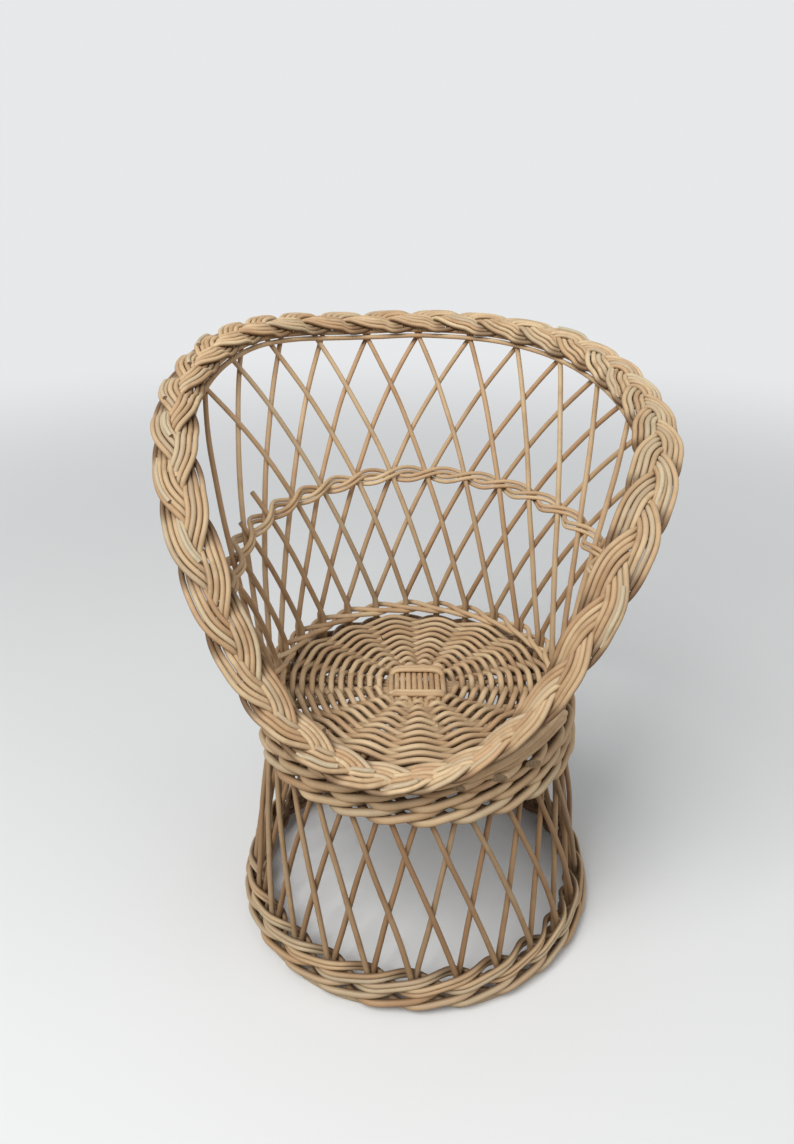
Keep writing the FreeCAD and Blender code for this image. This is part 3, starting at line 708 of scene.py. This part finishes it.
# Mid band: two doubled strands that cross between the stakes half way up the back
midBand = {
    "share": 0.5, "lift": 0.9, "diameter": 4, "reach": 120.5, "tone": 0.4, "toneSpread": 0.2, "stray": 0.3,
}


def pairingPath(lane, phase, middle, thickness, lift, lineRadius):
    out = stakeRoom + thickness / 2

    def path(angle):
        wave = math.pi * ((angle - phase) / pitch - lane)
        height = middle(angle) + lift * math.sin(wave)
        return leaned(angle, lineRadius(angle, height) - out * math.cos(wave), height)

    return path


def makeMidBand():
    thin = midBand["diameter"]
    low = back["crossHeight"]
    for lane in range(2):
        for name, side in (("Lower", -1), ("Upper", 1)):
            shift = side * (thin + weave["gap"]) / 2

            def middle(angle):
                return low + midBand["share"] * (latticeHeight(angle) - low) + shift

            phase = back["cross"] + pitch / 2
            path = pairingPath(lane, phase, middle, thin, midBand["lift"] * thin, backRadius)
            points = trail(path, -midBand["reach"], midBand["reach"])
            rod = rodMesh(points, thin, anyTone(midBand["tone"], midBand["toneSpread"]), 0, midBand["stray"])
            node = f"mid_band_{name.lower()}_{lane + 1}"
            addPiece(f"midBand{name}{lane + 1}", [rod], "band_willow", [node])


# Seat: crossed sticks fanned out in pairs, woven round by one weaver after another
seat = {
    "height": 229, "sag": 4.5, "stick": 5, "stickPitch": 5.3, "reach": 124.3, "turn": -6, "longSticks": 10,
    "crossSticks": 5, "slath": 55, "slathHalf": 4, "fanStart": 0.3, "fanEnd": 0.45, "stickTone": 0.55,
    "stickStray": 0.3, "stickTaper": 0.08, "stickShade": 0.5, "toneSpread": 0.2,
    "weaver": 5.55, "rows": 20.1, "firstSide": 34, "firstFront": 23, "last": 123, "weaverTurns": 2.24,
    "shortestEnd": 0.5, "weaverGap": 0.002, "weaverStep": 2.4, "kink": 0.09, "weaverTone": 0.4,
    "weaverStray": 0.45, "weaverTaper": 0.04, "shadeUnder": 0.55, "shadeFrom": -0.4, "shadeTo": 0.7,
    "binder": 4.4, "binderSide": 0.6, "binderEnd": 0.6, "binderTurns": 2, "binderGap": 0.01, "binderStep": 2,
    "binderRise": 1.1, "binderBend": 0.45, "binderTone": 0.4, "binderStray": 0.2, "binderTaper": 0.05,
}
columns = seat["longSticks"] + seat["crossSticks"]


def seatLevel(radius):
    return seat["height"] - seat["sag"] * (1 - (radius / seat["reach"]) ** 2)


def seatStick(shift, farEnd, nearEnd, across, lift):
    inner = seat["slathHalf"] * seat["stickPitch"]
    level = seat["height"]

    def half(end, outward):
        angle, side = end
        start = polar(outward, inner, level) + polar(across + 90, shift, 0)
        goal = polar(angle, seat["reach"], level) + polar(angle + 90, side, 0)
        stretch = (goal - start).length
        first = start + polar(outward, stretch * seat["fanStart"], 0)
        second = goal - polar(angle, stretch * seat["fanEnd"], 0)
        return start, first, second, goal

    far = half(farEnd, across)
    near = half(nearEnd, across + 180)

    def path(place):
        if abs(place) < 1:
            point = near[0].lerp(far[0], (place + 1) / 2)
        else:
            start, first, second, goal = far if place > 0 else near
            share = abs(place) - 1
            rest = 1 - share
            point = (start * rest ** 3 + first * (3 * share * rest ** 2)
                     + second * (3 * share ** 2 * rest) + goal * share ** 3)
        away = math.hypot(point.x, point.y)
        fade = 1 - smooth(away, seat["slath"] / 2, seat["slath"])
        return Vector((point.x, point.y, seatLevel(away) + lift * fade))

    points = trail(path, -2, 2)
    # Painted shade: the sticks darken outside the middle, where they run under the weavers
    shades = [seat["stickShade"] * smooth(math.hypot(point.x, point.y), inner, inner * 2) for point in points]
    tone = anyTone(seat["stickTone"], seat["toneSpread"])
    return rodMesh(points, seat["stick"], tone, 0, seat["stickStray"], seat["stickTaper"], shades)


def makeSeatSticks():
    step = 360 / columns
    side = seat["stickPitch"] / 2
    angles = [180 + column * step + seat["turn"] for column in range(columns)]
    ends = [(angle, shift) for angle in angles for shift in (-side, side)]
    longs = seat["longSticks"]
    crosses = seat["crossSticks"]
    half = longs // 2
    front = [ends[(half - 1 - index) % len(ends)] for index in range(longs)]
    left = [ends[half + index] for index in range(crosses)]
    rear = [ends[half + crosses + index] for index in range(longs)]
    right = [ends[(half + longs + 2 * crosses - 1 - index) % len(ends)] for index in range(crosses)]
    lift = seat["stickPitch"] / 2
    rods = []
    for index in range(longs):
        shift = (index - (longs - 1) / 2) * seat["stickPitch"]
        rods.append(seatStick(shift, rear[index], front[longs - 1 - index], seat["turn"], lift))
    addPiece("seatSticksLong", rods, "seat_willow", ["seat_sticks_long"])
    rods = []
    for index in range(crosses):
        shift = (index - (crosses - 1) / 2) * seat["stickPitch"]
        rods.append(seatStick(shift, right[index], left[crosses - 1 - index], seat["turn"] + 90, -lift))
    addPiece("seatSticksCross", rods, "seat_willow", ["seat_sticks_cross"])


def makeSeatWeavers():
    rise = (seat["stick"] + seat["weaver"] + weave["gap"]) / 2
    rows = seat["rows"]

    def path(turns):
        wave = math.pi * columns * turns
        swing = math.cos(wave) + seat["kink"] * math.cos(3 * wave)
        ahead = math.cos(2 * math.pi * turns) ** 2
        first = seat["firstSide"] + (seat["firstFront"] - seat["firstSide"]) * ahead
        radius = first + (seat["last"] - first) * turns / rows
        return polar(180 + seat["turn"] + 360 * turns, radius, seatLevel(radius) + rise * swing)

    # Painted shade where a weaver dips under the sticks
    def shadeUnder(turns):
        under = -math.cos(math.pi * columns * turns)
        return seat["shadeUnder"] * smooth(under, seat["shadeFrom"], seat["shadeTo"])

    begin = 0
    number = 1
    while begin < rows - seat["shortestEnd"]:
        end = min(begin + seat["weaverTurns"], rows)
        points = trail(path, begin, end - seat["weaverGap"], seat["weaverStep"])
        shades = valuesAlong(points, begin, end, shadeUnder)
        up = [(0, 0, 1)] * len(points)
        tone = anyTone(seat["weaverTone"], seat["toneSpread"])
        rod = rodMesh(points, seat["weaver"], tone, 0, seat["weaverStray"], seat["weaverTaper"], shades, up)
        addPiece(f"seatWeaver{number}", [rod], "seat_willow", [f"seat_weaver_{number}"])
        begin = end
        number += 1


def makeSeatBinder():
    wide = (seat["longSticks"] / 2 + seat["binderSide"]) * seat["stickPitch"]
    deep = (seat["crossSticks"] / 2 + seat["binderEnd"]) * seat["stickPitch"]
    rise = seat["stickPitch"] / 2 + (seat["stick"] + seat["binder"]) / 2 + weave["gap"]

    def squared(value):
        return math.copysign(math.sqrt(abs(value)), value)

    def path(turns):
        turn = 2 * math.pi * turns
        across = wide * squared(math.cos(turn))
        along = (deep + turns * seat["binder"]) * squared(math.sin(turn))
        angle = math.degrees(math.atan2(across, along)) + seat["turn"]
        away = math.hypot(across, along)
        level = math.cos(2 * turn)
        sunk = rise * seat["binderRise"] * level / math.hypot(level, seat["binderBend"])
        return polar(angle, away, seatLevel(away) - sunk)

    points = trail(path, seat["binderGap"], seat["binderTurns"] - seat["binderGap"], seat["binderStep"])
    rod = rodMesh(points, seat["binder"], seat["binderTone"], 0, seat["binderStray"], seat["binderTaper"])
    addPiece("seatBinder", [rod], "seat_willow", ["seat_binder"])


# Plait: three flat strands of rods that border the back, the arms and the front
plait = {
    "rods": 4, "diameter": 4.65, "rodPitch": 4.6, "lobes": 33,
    "backStretch": 1.45, "backFrom": 25, "backTo": 60,
    "armStretch": 1.75, "stretchFrom": 65, "stretchTo": 110, "shrinkFrom": 125, "shrinkTo": 165,
    "swing": 11, "flat": 0.1, "rise": 2.8, "sharp": 0.4, "softer": 0.6, "early": 0.3, "dome": 5,
    "turnsPerRod": 3, "firstJoint": 0.375, "jointGap": 0.02, "step": 3.4, "stray": 0.7, "taper": 0.1,
    "tone": 0.4, "toneSpread": 0.3, "aged": 0.14, "age": 0.5,
    "shadeUnder": 0.72, "underTo": 0.5, "middleFrom": 0.3, "middleTo": 0.8,
    "armDarkening": 0.14, "armFrom": 55, "armFull": 85, "armFade": 140, "armTo": 165,
}


def rimCrossings():
    counts = [0]
    for angle in range(-180, 180):
        turned = fromBack(angle)
        arm = smooth(turned, plait["stretchFrom"], plait["stretchTo"])
        arm *= 1 - smooth(turned, plait["shrinkFrom"], plait["shrinkTo"])
        behind = 1 - smooth(turned, plait["backFrom"], plait["backTo"])
        stretch = 1 + (plait["backStretch"] - 1) * behind + (plait["armStretch"] - 1) * arm
        counts.append(counts[-1] + (rim(angle + 1) - rim(angle)).length / stretch)
    return [count * plait["lobes"] / counts[-1] for count in counts]


crossings = rimCrossings()


def rimAngle(crossing):
    crossing = crossing % crossings[-1]
    index = min(bisect.bisect_right(crossings, crossing), len(crossings) - 1)
    span = crossings[index] - crossings[index - 1]
    return index - 181 + (crossing - crossings[index - 1]) / span


def plaitPoint(strand, place, crossing):
    angle = rimAngle(crossing)
    forward, side, face, width = rimFrame(angle)
    turn = 2 * math.pi / 3
    wave = turn * (crossing + strand)
    advance = (rim(rimAngle(crossing + 0.5)) - rim(rimAngle(crossing - 0.5))).length / turn
    swing = plait["swing"] * width / (1 - plait["flat"])
    slant = swing * (math.cos(wave) + 3 * plait["flat"] * math.cos(3 * wave))
    spacing = plait["rodPitch"] * (1 - uneven(angle, "squeeze"))
    shift = place * spacing / math.hypot(advance, slant)
    across = swing * (math.sin(wave) + plait["flat"] * math.sin(3 * wave)) + shift * advance
    early = plait["early"] * place * spacing / swing * math.cos(wave)
    reach = plait["swing"] + plait["rods"] * plait["rodPitch"] / 2
    level = math.sin(2 * (wave + early))
    sharp = plait["sharp"] + plait["softer"] * (1 - width)
    above = plait["rise"] * level / math.hypot(level, sharp) - plait["dome"] * (across / reach) ** 2
    return rim(angle) + side * across + face * above - forward * (shift * slant)


# Painted shade where a strand dives under the next one, away from its edges; the rods on the arms are also
# darkened a little
def plaitShade(strand, place, crossing):
    angle = rimAngle(crossing)
    wave = 2 * math.pi / 3 * (crossing + strand)
    spacing = plait["rodPitch"] * (1 - uneven(angle, "squeeze"))
    early = plait["early"] * place * spacing / (plait["swing"] * rimFrame(angle)[3]) * math.cos(wave)
    turned = fromBack(angle)
    arm = smooth(turned, plait["armFrom"], plait["armFull"])
    arm *= 1 - smooth(turned, plait["armFade"], plait["armTo"])
    under = smooth(-math.sin(2 * (wave + early)), 0, plait["underTo"])
    under *= smooth(abs(math.cos(wave)), plait["middleFrom"], plait["middleTo"])
    return plait["armDarkening"] * arm + plait["shadeUnder"] * under


# Tips: short greyed rod ends that lie on the plait
tips = {
    "angles": (-63, -74, -86, -99, -112, -124, -158, -171, 178, 96, 121, 60, 31),
    "diameter": 3.6, "rise": 2.9, "spacing": 1.5, "offset": 0.14, "length": 0.8, "sinkOver": 0.3,
    "leastAge": 0.5, "age": 1, "stray": 0.2,
}


def tipRods(strand):
    rods = []
    for number, angle in enumerate(tips["angles"]):
        if number % 3 != strand:
            continue
        share = (angle + 180) % 360
        crossing = crossings[int(share)] + (share % 1) * (crossings[int(share) + 1] - crossings[int(share)])
        begin = tips["spacing"] * round((crossing + strand) / tips["spacing"]) + tips["offset"] - strand
        end = begin + tips["length"]

        def path(crossing):
            face = rimFrame(rimAngle(crossing))[2]
            rise = tips["rise"] * (1 - smooth(crossing, end - tips["sinkOver"], end))
            return plaitPoint(strand, number % 2 * 2 - 1, crossing) + face * rise

        points = trail(path, begin, end)
        tone = anyTone(plait["tone"], plait["toneSpread"])
        age = dice.uniform(tips["leastAge"], tips["age"])
        rods.append(rodMesh(points, tips["diameter"], tone, age, tips["stray"]))
    return rods


def plaitRod(strand, place, begin, end):
    points = trail(lambda crossing: plaitPoint(strand, place, crossing), begin, end, plait["step"])
    shades = valuesAlong(points, begin, end, lambda crossing: plaitShade(strand, place, crossing))
    facing = valuesAlong(points, begin, end, lambda crossing: tuple(rimFrame(rimAngle(crossing))[2]))
    tone = anyTone(plait["tone"], plait["toneSpread"])
    age = anyAge(plait["aged"], plait["age"])
    return rodMesh(points, plait["diameter"], tone, age, plait["stray"], plait["taper"], shades, facing)


def makePlait():
    turns = plait["turnsPerRod"]
    for strand in range(3):
        strandTips = tipRods(strand)
        for index in range(plait["rods"]):
            rods = []
            place = index - (plait["rods"] - 1) / 2
            for part in range(plait["lobes"] // turns):
                begin = (part + plait["firstJoint"] + index % 2 / 2) * turns - strand
                end = begin + turns - plait["jointGap"]
                rods.append(plaitRod(strand, place, begin, end))
            rods += strandTips if index == 1 else []
            addPiece(f"plaitStrand{strand + 1}Rod{index + 1}", rods, "plait_willow",
                     [f"plait_strand_{strand + 1}_rod_{index + 1}"])


# Rim binding: two rods along the inside of the back, under the plait, with their ends tucked into it
binding = {"rods": 2, "diameter": 4.5, "reach": 104, "tuck": 14, "raised": 1.5, "tone": 0.5, "stray": 0.8}


def makeBinding():
    thick = binding["diameter"] + weave["gap"]
    inward = weave["stake"] + weave["gap"] + thick / 2
    for number in range(binding["rods"]):
        drop = back["bindingDepth"] - binding["raised"] + number * thick

        def path(angle):
            free = 1 - smooth(abs(angle), binding["reach"] - binding["tuck"], binding["reach"])
            height = rimHeight(angle) - drop * free
            return leaned(angle, backRadius(angle, height) - inward * free, height)

        points = trail(path, -binding["reach"], binding["reach"])
        rod = rodMesh(points, binding["diameter"], binding["tone"], 0, binding["stray"])
        addPiece(f"rimBindingRod{number + 1}", [rod], "plait_willow", [f"rim_binding_rod_{number + 1}"])


makeFoot()
makeSkirt()
makeSeatBand()
makeSeatSticks()
makeSeatBinder()
makeSeatWeavers()
makeSeatRing()
makeBack()
makeMidBand()
makeBinding()
makePlait()
print("willow pieces:", pieceCount)


# Studio: pale floor that fades into the backdrop, soft lamps and the camera
studio = {
    "floor": (0.80, 0.80, 0.79, 1), "floorBounce": (0.30, 0.21, 0.13, 1), "floorRough": 0.75, "floorSize": 60,
    "fadeFrom": 0.7, "fadeTo": 2.6, "backdrop": (0.80, 0.81, 0.82, 1), "sky": (0.86, 0.91, 0.95, 1),
    "skyStrength": 0.34, "key": (-0.9, -1.5, 2.4), "keyPower": 70, "keySize": 1.5,
    "fill": (1.7, -0.8, 1.3), "fillPower": 12, "fillSize": 2.0, "aim": (0, 0, 0.28),
}
camera = {"place": (0.0546, -0.698, 0.6762), "tilt": 64.5, "turn": 6.0, "lens": 28.1, "sensor": 36}


def floorFinish():
    finish = Finish("paleFloor")
    kinds = ("Camera", "Glossy", "Transmission")
    rays = [finish.node("ShaderNodeLightPath", out=f"Is {kind} Ray") for kind in kinds]
    seen = rays[0] + rays[1] + rays[2]
    colour = finish.blendColour(seen, studio["floorBounce"], studio["floor"])
    finish.feed(finish.shader.inputs["Base Color"], colour)
    finish.shader.inputs["Roughness"].default_value = studio["floorRough"]
    place = finish.node("ShaderNodeTexCoord", {}, out=3)
    away = finish.node("ShaderNodeVectorMath", {"operation": "LENGTH"}, {0: place}, 1)
    fade = {0: away, 1: studio["fadeFrom"], 2: studio["fadeTo"]}
    share = finish.node("ShaderNodeMapRange", {"interpolation_type": "SMOOTHSTEP"}, fade) * seen
    glow = finish.node("ShaderNodeEmission", {}, {"Color": studio["backdrop"]})
    lit = Wire(finish, finish.shader.outputs[0])
    mixed = finish.node("ShaderNodeMixShader", {}, {0: share, 1: lit, 2: glow})
    finish.feed(finish.tree.nodes["Material Output"].inputs[0], mixed)
    return finish.material


def makeFloor():
    shape = bmesh.new()
    bmesh.ops.create_grid(shape, x_segments=4, y_segments=4, size=studio["floorSize"] / 2)
    data = bpy.data.meshes.new("floor")
    shape.to_mesh(data)
    shape.free()
    data.materials.append(floorFinish())
    floor = bpy.data.objects.new("floor", data)
    bpy.context.scene.collection.objects.link(floor)


def makeLamp(name, place, power, size):
    data = bpy.data.lights.new(name, "AREA")
    data.energy = power
    data.size = size
    lamp = bpy.data.objects.new(name, data)
    lamp.location = place
    lamp.rotation_euler = (Vector(studio["aim"]) - Vector(place)).to_track_quat("-Z", "Y").to_euler()
    bpy.context.scene.collection.objects.link(lamp)


def makeCamera():
    data = bpy.data.cameras.new("camera")
    data.lens = camera["lens"]
    data.sensor_width = camera["sensor"]
    view = bpy.data.objects.new("camera", data)
    view.location = camera["place"]
    view.rotation_euler = (math.radians(camera["tilt"]), 0, math.radians(camera["turn"]))
    bpy.context.scene.collection.objects.link(view)
    bpy.context.scene.camera = view


def makeSky():
    world = bpy.data.worlds.new("sky")
    world.use_nodes = True
    tree = world.node_tree
    light = tree.nodes["Background"]
    light.inputs["Color"].default_value = studio["sky"]
    light.inputs["Strength"].default_value = studio["skyStrength"]
    seen = tree.nodes.new("ShaderNodeBackground")
    seen.inputs["Color"].default_value = studio["backdrop"]
    rays = tree.nodes.new("ShaderNodeLightPath")
    seenOrGlossy = tree.nodes.new("ShaderNodeMath")
    anySeen = tree.nodes.new("ShaderNodeMath")
    mixed = tree.nodes.new("ShaderNodeMixShader")
    tree.links.new(rays.outputs["Is Camera Ray"], seenOrGlossy.inputs[0])
    tree.links.new(rays.outputs["Is Glossy Ray"], seenOrGlossy.inputs[1])
    tree.links.new(seenOrGlossy.outputs[0], anySeen.inputs[0])
    tree.links.new(rays.outputs["Is Transmission Ray"], anySeen.inputs[1])
    tree.links.new(anySeen.outputs[0], mixed.inputs[0])
    tree.links.new(light.outputs[0], mixed.inputs[1])
    tree.links.new(seen.outputs[0], mixed.inputs[2])
    tree.links.new(mixed.outputs[0], tree.nodes["World Output"].inputs[0])
    bpy.context.scene.world = world


makeFloor()
makeLamp("keyLamp", studio["key"], studio["keyPower"], studio["keySize"])
makeLamp("fillLamp", studio["fill"], studio["fillPower"], studio["fillSize"])
makeCamera()
makeSky()
bpy.context.scene.view_settings.view_transform = "Standard"
print("studio ready")
